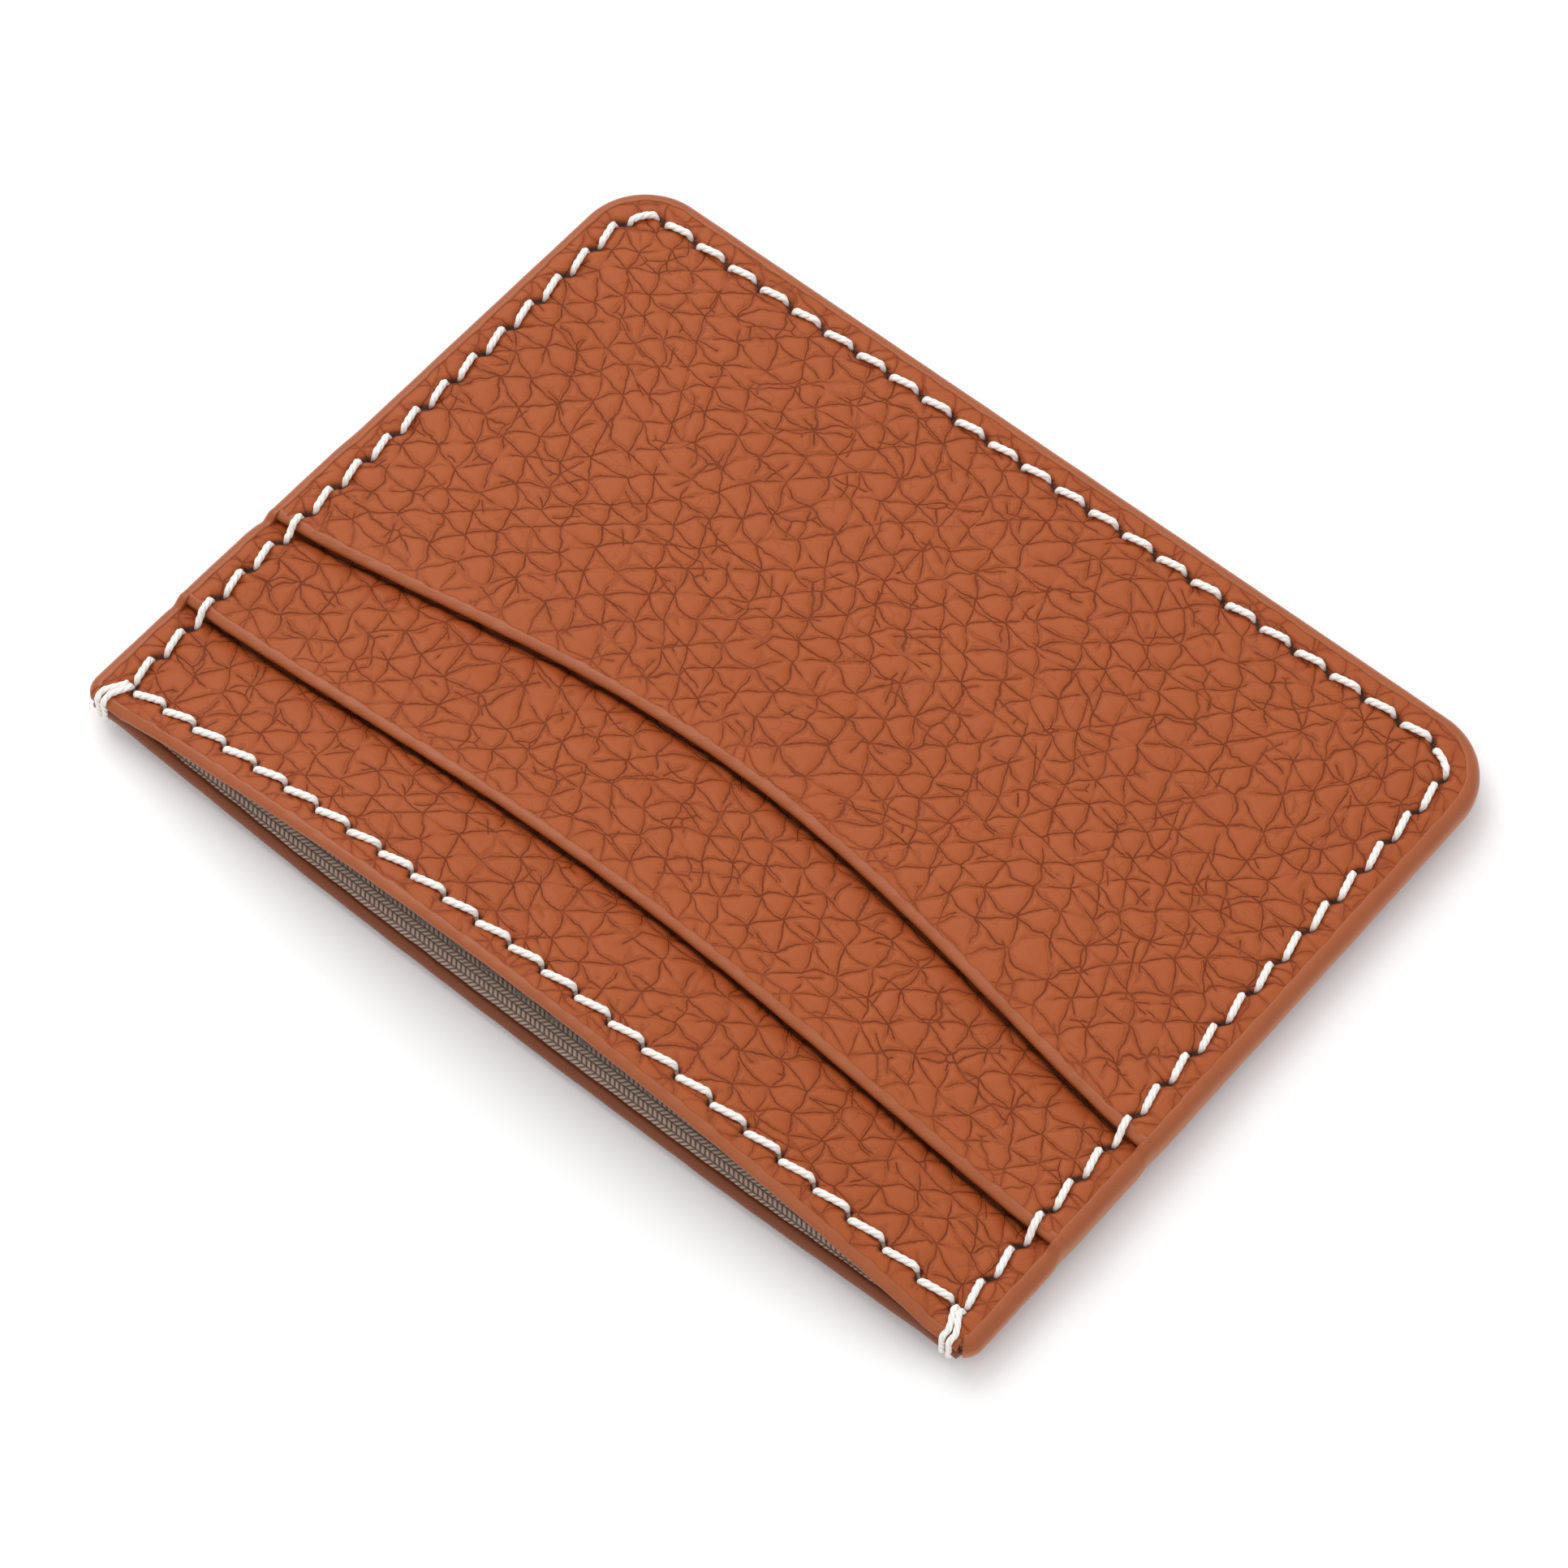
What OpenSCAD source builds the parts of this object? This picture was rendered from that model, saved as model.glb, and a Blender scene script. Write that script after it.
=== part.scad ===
// Flat leather card holder: one open middle pocket and two card slots on its front.
// It lies on its back, X along the mouth, Y from the mouth to the closed edge, Z up.
// The origin is at the middle of the resting face.

/* [Body] */
// Width along the mouth, over the edge paint
body_w = 101; // [96:1:110]
// Height from the corner threads at the mouth to the closed edge
body_h = 74.6; // [72:0.1:85]
// Radius of the two corners at the closed edge
corner_r = 7; // [6:0.5:12]
// Radius of the two corners at the mouth
mouth_corner_r = 1.5; // [1:0.5:3]
// How far the middle of the mouth stands open
gape = 6; // [5:0.5:8]
// How far the sewn edges are lifted off the resting face
seam_lift = 1.6; // [1.2:0.1:2]

/* [Sheets] */
// Thickness of the leather
leather_t = 1.0; // [0.9:0.1:1.4]
// Thickness of the leather where it is pared down inside an overlap
pared_t = 0.5; // [0.4:0.1:0.7]
// Thickness of the twill lining
lining_t = 0.2; // [0.15:0.05:0.4]
// Thickness of the edge paint
paint_t = 0.5; // [0.3:0.1:0.6]

/* [Card slots] */
// Distance from the mouth to the upper slot, at the sides
upper_slot_in = 12.2; // [10:0.1:14]
// Distance from the mouth to the lower slot, at the sides
lower_slot_in = 23.8; // [22:0.1:28]
// How far the middle of the upper slot's edge curves away from the mouth
upper_slot_arch = 1.3; // [0:0.1:2]
// How far the middle of the lower slot's edge curves away from the mouth
lower_slot_arch = 5.8; // [2:0.1:7]
// How far each leather strip runs on under the next one
overlap = 8; // [6:0.5:9]

/* [Stitching] */
// Thickness of the thread
thread_d = 0.7; // [0.5:0.05:0.8]
// Distance from the outer edge to the middle of the stitch line, on the closed sides
stitch_inset = 3.3; // [2.5:0.1:4]
// Distance from the front of the mouth's corner threads to the stitch line along the mouth
mouth_inset = 3.2; // [2.8:0.1:4]
// How far each end of a stitch lies off the stitch line
stitch_slant = 0.25; // [0:0.05:0.4]
// Number of stitches round the three closed sides
side_stitches = 59; // [50:1:64]
// Number of stitches along the mouth
mouth_stitches = 25; // [20:1:28]

/* [Hidden] */

leather = [0.66, 0.32, 0.19];
painted = [0.70, 0.38, 0.25];
twill = [0.43, 0.36, 0.31];
cotton = [0.93, 0.89, 0.83];
taupe_cotton = [0.38, 0.33, 0.29];

// Air left between two sheets that lie on each other
ply_gap = 0.04;
thread_r = thread_d / 2;
// Leather edges, inside the paint and the corner threads
mouth_y = thread_d - body_h / 2;
closed_y = body_h / 2 - paint_t;
side_x = body_w / 2 - paint_t;
edge_r = corner_r - paint_t;
// Width of the flat sewn band along the closed sides
past_stitch = 1.2;
seam_band = stitch_inset + past_stitch;
pocket_x = side_x - seam_band;
pocket_y = closed_y - seam_band;
// Stitch line
stitch_x = body_w / 2 - stitch_inset;
stitch_near_y = mouth_inset - body_h / 2;
stitch_far_y = body_h / 2 - stitch_inset;
stitch_r = corner_r - stitch_inset;
// Steps of the sheet grids and of the edges
sheet_cols = 20;
arc_steps = 5;
mouth_steps = 3;
edge_cols = 30;
thread_sides = 6;

function clamp(a) = min(1, max(0, a));
function ease(a) = let (c = clamp(a)) c * c * (3 - 2 * c);

// ---- Shape of the layers ----

// Half the width of every sheet at y, less round the four corners
function corner_cut(r, past) = past <= 0 ? 0 : r - sqrt(max(0, r * r - past * past));
function half_width(y) =
    side_x - corner_cut(edge_r, y - closed_y + edge_r)
    - corner_cut(mouth_corner_r, mouth_y + mouth_corner_r - y);

// 1 at the middle of the pocket and 0 at its side seams
function across(x) = cos(90 * clamp(abs(x) / pocket_x));
// 0 at the mouth and 1 at the closed seam
function inward(y) = clamp((y - mouth_y) / (pocket_y - mouth_y));
// The front rises most at the middle of the mouth. There it leaves the side seams steeply,
// and a third of the way in it leaves them as a smooth swell.
mouth_swell = 0.8;
inner_swell = 2;
swell_share = 1 / 3;
fall_power = 3;
function swell(y) = mouth_swell + (inner_swell - mouth_swell) * ease(inward(y) / swell_share);
function rise(x, y) = gape * pow(across(x), swell(y)) * pow(1 - inward(y), fall_power);
// The back sags from its lifted seams to the resting face, and its mouth edge keeps
// clear of that face by a little more than the thread
mouth_lift = 1.1 * thread_d;
mouth_lift_run = 12;
sag_steepness = 1.5;
function mouth_sag(y) = 1 - mouth_lift / seam_lift * (1 - ease((y - mouth_y) / mouth_lift_run));
function sag(x, y) =
    seam_lift * mouth_sag(y)
    * min(1, sag_steepness * across(x) * (1 - pow(inward(y), fall_power)));

slot_power = 1.3;
function slot_curve(x) = pow(cos(90 * clamp(abs(x) / side_x)), slot_power);
function upper_slot(x) = mouth_y + upper_slot_in + upper_slot_arch * slot_curve(x);
function lower_slot(x) = mouth_y + lower_slot_in + lower_slot_arch * slot_curve(x);

// Undersides and thicknesses, from the back up
function back_z(x, y) = seam_lift - sag(x, y);
function back_lining_z(x, y) = back_z(x, y) + leather_t + ply_gap;
function front_lining_z(x, y) =
    seam_lift + leather_t + lining_t + 2 * ply_gap + rise(x, y);
function front_panel_z(x, y) = front_lining_z(x, y) + lining_t + ply_gap;

// A strip is full leather up to a little before the slot, and pared down under the next one
paring_before = 2;
paring_run = 3;
function strip_t(from_slot) =
    leather_t - (leather_t - pared_t) * ease((from_slot + paring_before) / paring_run);
function front_panel_t(x, y) = strip_t(y - upper_slot(x));
function upper_pocket_t(x, y) = strip_t(y - lower_slot(x));

// What lies under a pocket sheet eases away past the end of the strip below
settle_run = 4;
function past_strip(from_slot) = ease((from_slot - overlap) / settle_run);
function upper_pocket_z(x, y) =
    front_panel_z(x, y)
    + (front_panel_t(x, y) + ply_gap) * (1 - past_strip(y - upper_slot(x)));
function lower_pocket_z(x, y) =
    let (gone = past_strip(y - lower_slot(x)))
    upper_pocket_z(x, y) + ply_gap
    + upper_pocket_t(x, y) * (1 - gone) + lining_t * gone;

// Outer face of the front, whichever sheet is uppermost
function front_top(x, y) =
    y < upper_slot(x) ? front_panel_z(x, y) + front_panel_t(x, y)
    : y < lower_slot(x) ? upper_pocket_z(x, y) + upper_pocket_t(x, y)
    : lower_pocket_z(x, y) + leather_t;

// ---- Sheets ----

function column_x(i) =
    i == 0 ? -side_x
    : i == sheet_cols ? side_x
    : pocket_x * (2 * (i - 1) / (sheet_cols - 2) - 1);

// Row k of a sheet's grid. A sheet that starts at the mouth has mouth_steps short rows round
// the corners there, and one that ends at the closed edge has arc_steps of them.
function row_y(k, rows, x, near, far, at_mouth, rounded) =
    let (first = at_mouth ? mouth_steps : 0,
         last = rows - (rounded ? arc_steps : 0),
         from_y = near(x) + (at_mouth ? mouth_corner_r : 0),
         to_y = rounded ? closed_y - edge_r : far(x))
    k < first ? near(x) + mouth_corner_r * (1 - cos(90 * k / first))
    : k <= last ? from_y + (to_y - from_y) * (k - first) / (last - first)
    : to_y + edge_r * sin(90 * (k - last) / arc_steps);

function sheet_faces(cols, rows) =
    let (w = cols + 1, n = w * (rows + 1))
    concat(
        [for (j = [0:rows - 1], i = [0:cols - 1], half = [0, 1])
            let (a = n + i + j * w)
            half == 0 ? [a, a + w, a + w + 1] : [a, a + w + 1, a + 1]],
        [for (j = [0:rows - 1], i = [0:cols - 1], half = [0, 1])
            let (a = i + j * w)
            half == 0 ? [a, a + w + 1, a + w] : [a, a + 1, a + w + 1]],
        [for (i = [0:cols - 1], half = [0, 1])
            half == 0 ? [i, i + n, i + n + 1] : [i, i + n + 1, i + 1]],
        [for (i = [0:cols - 1], half = [0, 1])
            let (a = i + rows * w)
            half == 0 ? [a, a + n + 1, a + n] : [a, a + 1, a + n + 1]],
        [for (j = [0:rows - 1], half = [0, 1])
            let (a = j * w)
            half == 0 ? [a, a + n + w, a + n] : [a, a + w, a + n + w]],
        [for (j = [0:rows - 1], half = [0, 1])
            let (a = cols + j * w)
            half == 0 ? [a, a + n, a + n + w] : [a, a + n + w, a + w]]);

// A closed sheet from near(x) to far(x), with its underside at z(x, y) and thickness t(x, y)
module sheet(rows, near, far, z, t, at_mouth = false, rounded = false, inset = 0) {
    spots = [for (k = [0:rows], i = [0:sheet_cols])
        let (x = column_x(i),
             y = row_y(k, rows, x, near, far, at_mouth, rounded),
             s = half_width(y) / side_x * (side_x - inset) / side_x)
        [x * s, y - (k == rows && rounded ? inset : 0)]];
    lower = [for (p = spots) [p.x, p.y, z(p.x, p.y)]];
    upper = [for (p = spots) [p.x, p.y, z(p.x, p.y) + t(p.x, p.y)]];
    polyhedron(concat(lower, upper), sheet_faces(sheet_cols, rows), convexity = 6);
}

// ---- Tubes and beads swept along a path ----

function unit(v) = v / norm(v);

function sweep_faces(rings, sides, closed) =
    concat(
        [for (k = [0:rings - (closed ? 1 : 2)], i = [0:sides - 1], half = [0, 1])
            let (a = k * sides + i,
                 b = k * sides + (i + 1) % sides,
                 step = k == rings - 1 ? -sides * (rings - 1) : sides)
            half == 0 ? [a, a + step, b + step] : [a, b + step, b]],
        closed ? [] : [[for (i = [0:sides - 1]) i]],
        closed ? [] : [[for (i = [sides - 1:-1:0]) (rings - 1) * sides + i]]);

// Round thread along a path; across_dir is any direction that the path never follows
module thread(path, across_dir, closed = false) {
    n = len(path);
    rings = [for (k = [0:n - 1])
        let (before = path[closed ? (k + n - 1) % n : max(0, k - 1)],
             after = path[closed ? (k + 1) % n : min(n - 1, k + 1)],
             along = unit(after - before),
             side = unit(cross(along, across_dir)),
             up = cross(side, along))
        for (i = [0:thread_sides - 1])
            let (a = 360 * i / thread_sides)
            path[k] + thread_r * (cos(a) * side + sin(a) * up)];
    polyhedron(rings, sweep_faces(n, thread_sides, closed), convexity = 10);
}

// Half-round bead of edge paint: spots are [[x, y], outward, bottom z, top z]
bead_profile = [[-0.02, 0], [0.55, 0.1], [1, 0.32], [1, 0.68], [0.55, 0.9], [-0.02, 1]];
module bead(spots) {
    sides = len(bead_profile);
    rings = [for (s = spots, p = bead_profile)
        let (at = s[0] + s[1] * p[0] * paint_t)
        [at.x, at.y, s[2] + (s[3] - s[2]) * p[1]]];
    polyhedron(rings, sweep_faces(len(spots), sides, false), convexity = 10);
}

// ---- Leather and lining ----

module back_panel()
    color(leather)
    sheet(rows = 18, near = function(x) mouth_y, far = function(x) closed_y,
          at_mouth = true, rounded = true,
          z = function(x, y) back_z(x, y), t = function(x, y) leather_t);

module back_lining()
    color(twill)
    sheet(rows = 18, near = function(x) mouth_y + ply_gap, far = function(x) closed_y,
          at_mouth = true, rounded = true, inset = ply_gap,
          z = function(x, y) back_lining_z(x, y), t = function(x, y) lining_t);

module front_lining()
    color(twill)
    sheet(rows = 18, near = function(x) mouth_y + ply_gap, far = function(x) closed_y,
          at_mouth = true, rounded = true, inset = ply_gap,
          z = function(x, y) front_lining_z(x, y), t = function(x, y) lining_t);

module front_panel()
    color(leather)
    sheet(rows = 13, near = function(x) mouth_y,
          far = function(x) upper_slot(x) + overlap, at_mouth = true,
          z = function(x, y) front_panel_z(x, y), t = function(x, y) front_panel_t(x, y));

module upper_pocket()
    color(leather)
    sheet(rows = 10, near = function(x) upper_slot(x),
          far = function(x) lower_slot(x) + overlap,
          z = function(x, y) upper_pocket_z(x, y), t = function(x, y) upper_pocket_t(x, y));

module pocket_divider()
    color(twill)
    sheet(rows = 11, near = function(x) lower_slot(x) + overlap + ply_gap,
          far = function(x) closed_y, rounded = true, inset = ply_gap,
          z = function(x, y) front_panel_z(x, y), t = function(x, y) lining_t - ply_gap);

module lower_pocket()
    color(leather)
    sheet(rows = 16, near = function(x) lower_slot(x), far = function(x) closed_y,
          rounded = true,
          z = function(x, y) lower_pocket_z(x, y), t = function(x, y) leather_t);

// ---- Edge paint ----

// Points and outward directions up the left edge, from the mouth to the middle of the
// closed edge, and the same again down the right edge
side_edge_from = mouth_y + mouth_corner_r;
side_edge_to = closed_y - edge_r;
side_steps = 20;
half_steps = 4;
left_edge = concat(
    [for (a = [67.5:-22.5:22.5])
        [[-side_x + mouth_corner_r * (1 - cos(a)), side_edge_from - mouth_corner_r * sin(a)],
         [-cos(a), -sin(a)]]],
    [for (k = [0:side_steps])
        [[-side_x, side_edge_from + (side_edge_to - side_edge_from) * k / side_steps], [-1, 0]]],
    [for (a = [15:15:90])
        [[-side_x + edge_r * (1 - cos(a)), side_edge_to + edge_r * sin(a)], [-cos(a), sin(a)]]],
    [for (k = [1:half_steps - 1])
        [[(side_x - edge_r) * (k / half_steps - 1), closed_y], [0, 1]]]);
side_edge = concat(
    left_edge, [[[0, closed_y], [0, 1]]],
    [for (k = [len(left_edge) - 1:-1:0])
        let (e = left_edge[k]) [[-e[0].x, e[0].y], [-e[1].x, e[1].y]]]);

module side_edge_paint()
    color(painted)
    bead([for (e = side_edge)
        [e[0], e[1], back_z(e[0].x, e[0].y), front_top(e[0].x, e[0].y)]]);

// Bead along a leather edge that faces the mouth, out to half_length on both sides
module edge_bead(half_length, edge_y, z)
    bead([for (k = [0:edge_cols])
        let (x = half_length * (1 - 2 * k / edge_cols), y = edge_y(x))
        [[x, y], [0, -1], z(x, y), z(x, y) + leather_t]]);

mouth_half_length = side_x - mouth_corner_r;

module front_mouth_edge_paint()
    color(painted)
    edge_bead(mouth_half_length, function(x) mouth_y, function(x, y) front_panel_z(x, y));

module back_mouth_edge_paint()
    color(painted)
    edge_bead(mouth_half_length, function(x) mouth_y, function(x, y) back_z(x, y));

module upper_slot_edge_paint()
    color(painted)
    edge_bead(side_x, function(x) upper_slot(x), function(x, y) upper_pocket_z(x, y));

module lower_slot_edge_paint()
    color(painted)
    edge_bead(side_x, function(x) lower_slot(x), function(x, y) lower_pocket_z(x, y));

// ---- Thread ----

side_run = stitch_far_y - stitch_r - stitch_near_y;
corner_run = PI / 2 * stitch_r;
closed_run = 2 * (stitch_x - stitch_r);
seam_run = 2 * side_run + 2 * corner_run + closed_run;

// Point at distance d along the stitch line on the three closed sides
function seam_point(d) =
    d < side_run ? [-stitch_x, stitch_near_y + d]
    : d < side_run + corner_run
        ? let (a = 90 * (d - side_run) / corner_run)
          [-stitch_x + stitch_r - stitch_r * cos(a), stitch_far_y - stitch_r + stitch_r * sin(a)]
    : d < side_run + corner_run + closed_run
        ? [-stitch_x + stitch_r + d - side_run - corner_run, stitch_far_y]
    : let (p = seam_point(seam_run - d)) [-p.x, p.y];

// Each stitch dips into a hole at both ends, and lies slanting on the leather between them
dip = [0, 0.22, 0.78];
hole_depth = 0.25 * thread_d;
lying_height = 0.42 * thread_d;
function thread_lift(k) = k % len(dip) == 0 ? -hole_depth : lying_height;
function thread_side(k) = [0, -stitch_slant, stitch_slant][k % len(dip)];

// Share of a seam over which its direction is measured
direction_step = 0.001;

// Path of one side of a lock-stitched seam; face is 1 on top of a sheet and -1 under it
function stitch_path(stitches, spot, z, face) =
    [for (k = [0:stitches * len(dip)])
        let (f = (floor(k / len(dip)) + dip[k % len(dip)]) / stitches,
             along = unit(spot(f + direction_step) - spot(f - direction_step)),
             p = spot(f) + thread_side(k) * [-along.y, along.x])
        [p.x, p.y, z(p.x, p.y) + face * thread_lift(k)]];

module side_needle_thread()
    color(cotton)
    thread(stitch_path(side_stitches, function(f) seam_point(f * seam_run),
                       function(x, y) front_top(x, y), 1), [0, 0, 1]);

module side_bobbin_thread()
    color(cotton)
    thread(stitch_path(side_stitches, function(f) seam_point(f * seam_run),
                       function(x, y) back_z(x, y), -1), [0, 0, 1]);

// One side of the seam along a mouth edge, between the two corner holes
module mouth_seam(z, face)
    thread(stitch_path(mouth_stitches,
                       function(f) [(2 * f - 1) * (stitch_x - thread_d), stitch_near_y],
                       z, face), [0, 0, 1]);

module front_mouth_thread()
    color(cotton)
    mouth_seam(function(x, y) front_top(x, y), 1);

module front_mouth_inner_thread()
    color(taupe_cotton)
    mouth_seam(function(x, y) front_lining_z(x, y), -1);

module back_mouth_thread()
    color(cotton)
    mouth_seam(function(x, y) back_z(x, y), -1);

module back_mouth_inner_thread()
    color(taupe_cotton)
    mouth_seam(function(x, y) back_lining_z(x, y) + lining_t, 1);

// Two turns of thread from the corner hole round the closed end of the mouth, which part a
// little over the edge. bow_out is how far they lean towards the corner there.
leg_spread = 0.54 * thread_d;
bow_spread = 0.8 * thread_d;
bow_out = 0.8;
hole_bend = 0.3;
edge_bend = 0.8;
module corner_tack(x) {
    top = front_top(x, stitch_near_y) + thread_r;
    bottom = back_z(x, stitch_near_y) - thread_r;
    front = mouth_y - thread_r;
    for (turn = [-1, 1]) {
        leg = x + turn * leg_spread;
        bow = x + sign(x) * bow_out + turn * bow_spread;
        thread([[leg, stitch_near_y, (top + bottom) / 2],
                [leg, stitch_near_y, top - hole_bend],
                [leg, stitch_near_y - hole_bend, top],
                [bow, front + edge_bend, top],
                [bow, front, top - edge_bend],
                [bow, front, bottom + edge_bend],
                [bow, front + edge_bend, bottom],
                [leg, stitch_near_y - hole_bend, bottom],
                [leg, stitch_near_y, bottom + hole_bend]],
               [1, 0, 0], closed = true);
    }
}

module left_corner_tack()
    color(cotton)
    corner_tack(-stitch_x);

module right_corner_tack()
    color(cotton)
    corner_tack(stitch_x);

back_panel();
back_lining();
front_lining();
front_panel();
upper_pocket();
pocket_divider();
lower_pocket();
side_edge_paint();
front_mouth_edge_paint();
back_mouth_edge_paint();
upper_slot_edge_paint();
lower_slot_edge_paint();
side_needle_thread();
side_bobbin_thread();
front_mouth_thread();
front_mouth_inner_thread();
back_mouth_thread();
back_mouth_inner_thread();
left_corner_tack();
right_corner_tack();
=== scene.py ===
"""Leather card holder lying on its back: the visible surfaces that stand for the CAD nodes.

Lengths are in millimetres up to the point where a mesh is made, which is in metres.
"""
import math

import bpy
import numpy as np
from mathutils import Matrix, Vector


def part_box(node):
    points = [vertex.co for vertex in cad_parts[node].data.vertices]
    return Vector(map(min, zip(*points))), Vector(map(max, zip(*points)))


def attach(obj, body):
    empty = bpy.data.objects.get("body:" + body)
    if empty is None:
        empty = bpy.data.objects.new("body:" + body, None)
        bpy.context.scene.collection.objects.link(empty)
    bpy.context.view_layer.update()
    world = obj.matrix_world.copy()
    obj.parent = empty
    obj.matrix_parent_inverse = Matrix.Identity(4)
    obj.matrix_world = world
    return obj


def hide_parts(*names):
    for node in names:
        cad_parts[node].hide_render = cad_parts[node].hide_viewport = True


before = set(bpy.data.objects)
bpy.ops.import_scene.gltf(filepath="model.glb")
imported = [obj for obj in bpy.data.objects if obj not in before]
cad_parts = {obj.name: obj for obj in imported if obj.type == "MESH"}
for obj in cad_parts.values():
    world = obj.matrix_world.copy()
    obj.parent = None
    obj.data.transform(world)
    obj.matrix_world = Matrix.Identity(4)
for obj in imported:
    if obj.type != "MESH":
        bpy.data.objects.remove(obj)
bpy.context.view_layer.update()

# ---- Back panel ----
# One piece of drum-softened cowhide, 1 mm thick, cut to the full outline. It sags from its
# sewn edges to the resting face, grain side down, and its mouth edge stays a little lifted.

MM = 0.001
leather_t, paint_t = 1.0, 0.5
edge_r, mouth_r = 6.5, 1.5
stitch_inset, mouth_inset, thread_d = 3.3, 3.2, 0.7
side_stitches, mouth_stitches = 59, 25
mouth_lift, lift_run, sag_steepness = 1.1 * thread_d, 12, 1.5
panel_low, panel_high = [np.array(corner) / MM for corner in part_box("back_panel")]
side_x, closed_y, mouth_y = panel_high[0], panel_high[1], panel_low[1]
seam_lift = panel_high[2] - leather_t
past_stitch = 1.2
pocket_x, pocket_y = side_x - stitch_inset - past_stitch, closed_y - stitch_inset - past_stitch


def ease(a):
    """Smooth step: 0 below 0, 1 above 1, and a*a*(3 - 2a) between them."""
    c = np.clip(a, 0, 1)
    return c * c * (3 - 2 * c)


def corner_cut(radius, past):
    """How far a round corner comes in, at a distance past the start of its arc."""
    past = np.clip(past, 0, radius)
    return radius - np.sqrt(radius**2 - past**2)


def half_width(y):
    """Half the width of the outline at y, less round the four corners."""
    return (
        side_x
        - corner_cut(edge_r, y - closed_y + edge_r)
        - corner_cut(mouth_r, mouth_y + mouth_r - y)
    )


def across(x):
    """1 at the middle of the pocket, falling as a cosine to 0 at its side seams."""
    return np.cos(np.pi / 2 * np.clip(np.abs(x) / pocket_x, 0, 1))


def inward(y):
    """0 at the mouth and 1 at the closed seam."""
    return np.clip((y - mouth_y) / (pocket_y - mouth_y), 0, 1)


def back_z(x, y):
    """Underside of the back: the sewn edges' height less the sag between them, which is level in
    the middle, falls off towards the seams, and is a little less near the mouth."""
    held = 1 - mouth_lift / seam_lift * (1 - ease((y - mouth_y) / lift_run))
    sag = np.minimum(1, sag_steepness * across(x) * (1 - inward(y) ** 3))
    return seam_lift - seam_lift * held * sag


def edge_distance(x, y):
    """Distance in from the outline, round the corners as well as along the straight edges."""
    reach = []
    for radius, past_y in ((edge_r, y - closed_y + edge_r), (mouth_r, mouth_y + mouth_r - y)):
        past_x = np.abs(x) - side_x + radius
        corner = np.hypot(np.maximum(past_x, 0), np.maximum(past_y, 0))
        reach.append(radius - corner - np.minimum(np.maximum(past_x, past_y), 0))
    return np.minimum(*reach)


# The stitch lines, which press a row of dents into every outer sheet
stitch_x = side_x + paint_t - stitch_inset
stitch_near_y = mouth_y + mouth_inset - thread_d
stitch_far_y = closed_y + paint_t - stitch_inset
stitch_r = edge_r + paint_t - stitch_inset
side_run = stitch_far_y - stitch_r - stitch_near_y
corner_run = np.pi / 2 * stitch_r
seam_run = 2 * (side_run + corner_run + stitch_x - stitch_r)
mouth_run = 2 * (stitch_x - thread_d)


def side_seam(f):
    """Point at fraction f of the seam: up the left side, along the closed edge, down the right."""
    d = np.where(f < 0.5, f, 1 - f) * seam_run
    turn = np.clip((d - side_run) / stitch_r, 0, np.pi / 2)
    x = stitch_r - stitch_x - stitch_r * np.cos(turn) + np.maximum(d - side_run - corner_run, 0)
    y = np.minimum(d, side_run) + stitch_near_y + stitch_r * np.sin(turn)
    return np.stack([np.where(f < 0.5, x, -x), y], -1)


def mouth_seam(f):
    """Point at fraction f of the straight seam along the mouth, from left to right."""
    return np.stack([(2 * f - 1) * (stitch_x - thread_d), stitch_near_y + 0 * f], -1)


def left_of(seam, f):
    """Unit vector to the left of the direction of sewing."""
    along = seam(f + 1e-4) - seam(f - 1e-4)
    along /= np.linalg.norm(along, axis=-1, keepdims=True)
    return np.stack([-along[..., 1], along[..., 0]], -1)


def slant(seam, f):
    """How far a stitch's ends lie off its line: most at the mouth, least at the closed edge."""
    if seam is mouth_seam:
        return 0.36 + 0 * f
    return 0.22 + 0.08 * np.abs(left_of(seam, f)[..., 0])


def hole_reach(seam):
    """Share of a stitch that is hidden in the slit at each of its ends."""
    return 0.04 if seam is mouth_seam else 0.1


seams = [(side_seam, side_stitches, seam_run), (mouth_seam, mouth_stitches, mouth_run)]
slit_middle, slit_half, stitch_from, stitch_to = [], [], [], []
for seam, count, total in seams:
    hole = np.clip(np.arange(count + 1) / count, 2e-4, 1 - 2e-4)
    left = left_of(seam, hole)
    along = np.stack([left[:, 1], -left[:, 0]], -1)
    slit_middle.append(seam(hole))
    slit_half.append(left * slant(seam, hole)[:, None] - along * hole_reach(seam) * total / count)
    stitch_from.append(seam(hole[:-1]) - slit_half[-1][:-1])
    stitch_to.append(seam(hole[1:]) + slit_half[-1][1:])
slit_middle, slit_half = np.concatenate(slit_middle), np.concatenate(slit_half)
stitch_from, stitch_to = np.concatenate(stitch_from), np.concatenate(stitch_to)

# Small puckers that the tight thread pulls up at its holes, on either side of the seams
pick = np.random.default_rng(5)
pucker_from, pucker_to = [], []
for side in (-1, 1, -1, 1):
    towards = side * slit_half / np.linalg.norm(slit_half, axis=1, keepdims=True)
    sideways = np.stack([-towards[:, 1], towards[:, 0]], -1)
    sideways = sideways * pick.normal(0, 0.45, (len(towards), 1))
    long = pick.uniform(0.5, 1.5, (len(towards), 1))
    begin = slit_middle + side * slit_half + pick.normal(0, 0.25, slit_half.shape)
    pucker_from.append(begin)
    pucker_to.append(begin + (towards + sideways) * long)
pucker_from, pucker_to = np.concatenate(pucker_from), np.concatenate(pucker_to)


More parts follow.
